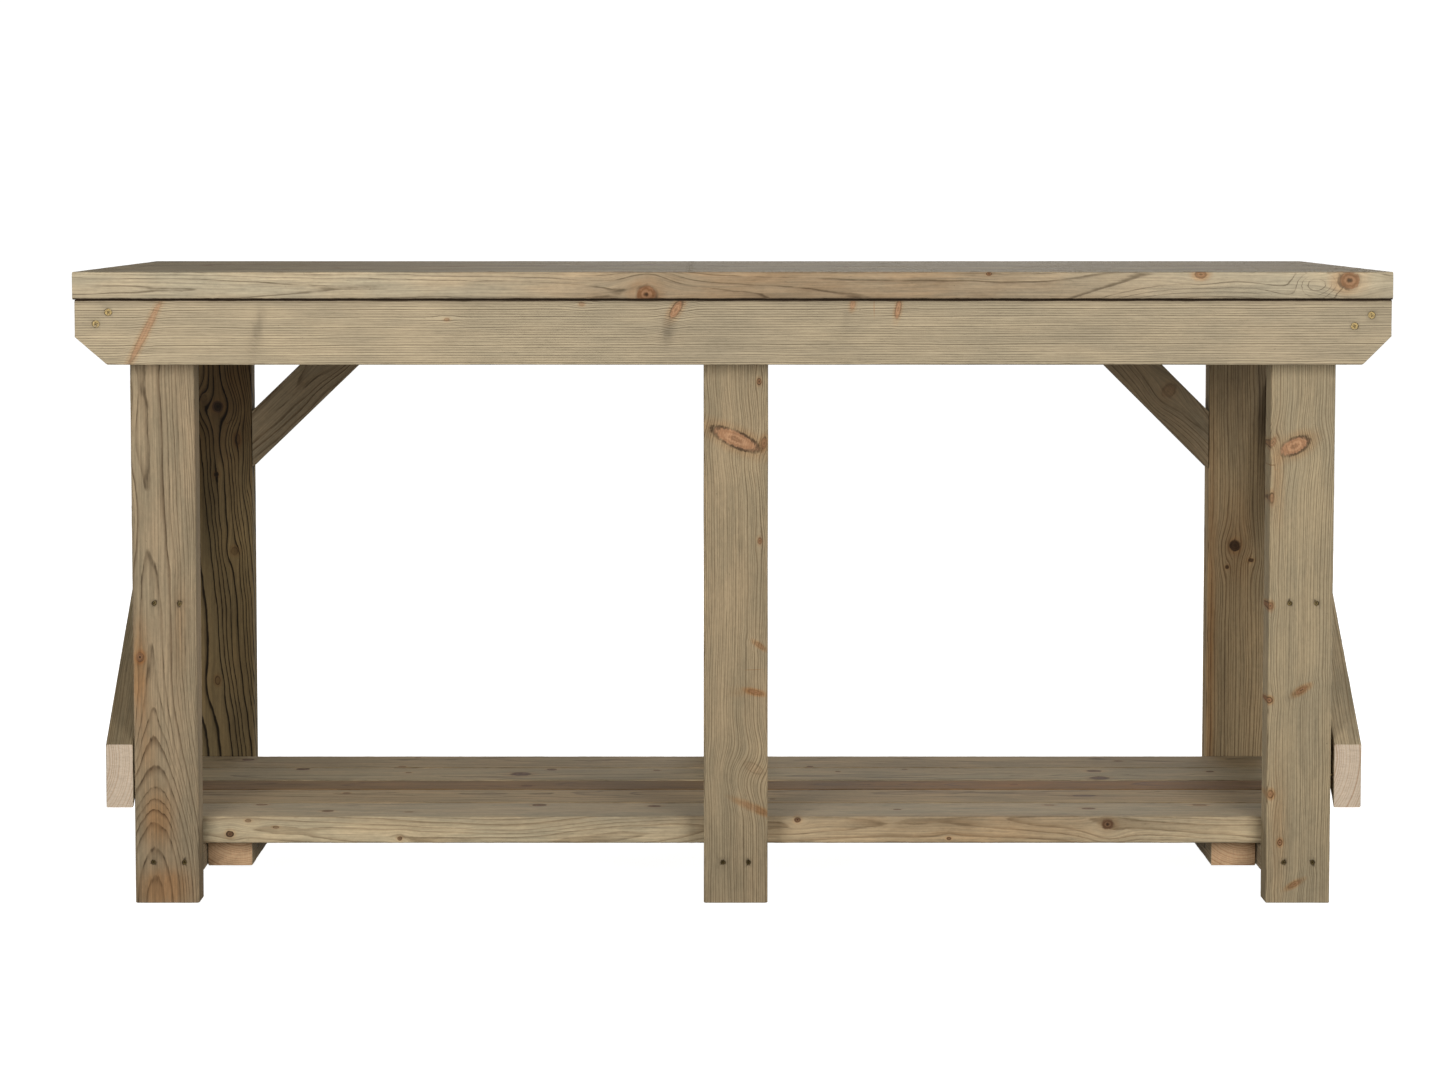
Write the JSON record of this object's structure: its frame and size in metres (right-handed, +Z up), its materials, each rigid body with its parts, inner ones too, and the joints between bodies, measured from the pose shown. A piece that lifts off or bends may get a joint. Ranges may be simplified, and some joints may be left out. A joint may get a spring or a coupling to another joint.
{
  "type": "potting bench",
  "caption": "Long timber potting bench with a flat slatted worktop on aprons and rails, front and back legs, a low slatted shelf and diagonal braces.",
  "frame": {"origin": "on the floor, under the centre of the worktop", "axes": "X along the length, Y from front to back, Z up"},
  "size_m": [1.8, 0.6, 0.88],
  "materials": {
    "treated_softwood": "planed, pressure treated softwood, unpainted, matt",
    "zinc_screw": "yellow passivated zinc plate, satin"
  },
  "bodies": {
    "root": {"worktop_board_1": "treated_softwood", "worktop_board_2": "treated_softwood", "worktop_board_3": "treated_softwood", "worktop_board_4": "treated_softwood", "worktop_board_5": "treated_softwood", "worktop_board_6": "treated_softwood", "worktop_board_7": "treated_softwood", "apron_front": "treated_softwood", "apron_back": "treated_softwood", "end_rail_left": "treated_softwood", "end_rail_right": "treated_softwood", "centre_rail": "treated_softwood", "leg_front_left": "treated_softwood", "leg_front_centre": "treated_softwood", "leg_front_right": "treated_softwood", "leg_back_left": "treated_softwood", "leg_back_centre": "treated_softwood", "leg_back_right": "treated_softwood", "stretcher_left": "treated_softwood", "stretcher_centre": "treated_softwood", "stretcher_right": "treated_softwood", "shelf_bearer_left": "treated_softwood", "shelf_bearer_right": "treated_softwood", "shelf_board_1": "treated_softwood", "shelf_board_2": "treated_softwood", "shelf_board_3": "treated_softwood", "shelf_board_4": "treated_softwood", "shelf_board_5": "treated_softwood", "side_brace_left": "treated_softwood", "side_brace_right": "treated_softwood", "knee_brace_left": "treated_softwood", "knee_brace_right": "treated_softwood", "worktop_screws": "zinc_screw", "apron_screws": "zinc_screw", "leg_top_screws": "zinc_screw", "centre_rail_screws": "zinc_screw", "stretcher_screws": "zinc_screw", "leg_middle_screws": "zinc_screw", "side_brace_screws": "zinc_screw", "knee_brace_screws": "zinc_screw", "bearer_screws": "zinc_screw", "shelf_screws": "zinc_screw"}
  },
  "joints": []
}
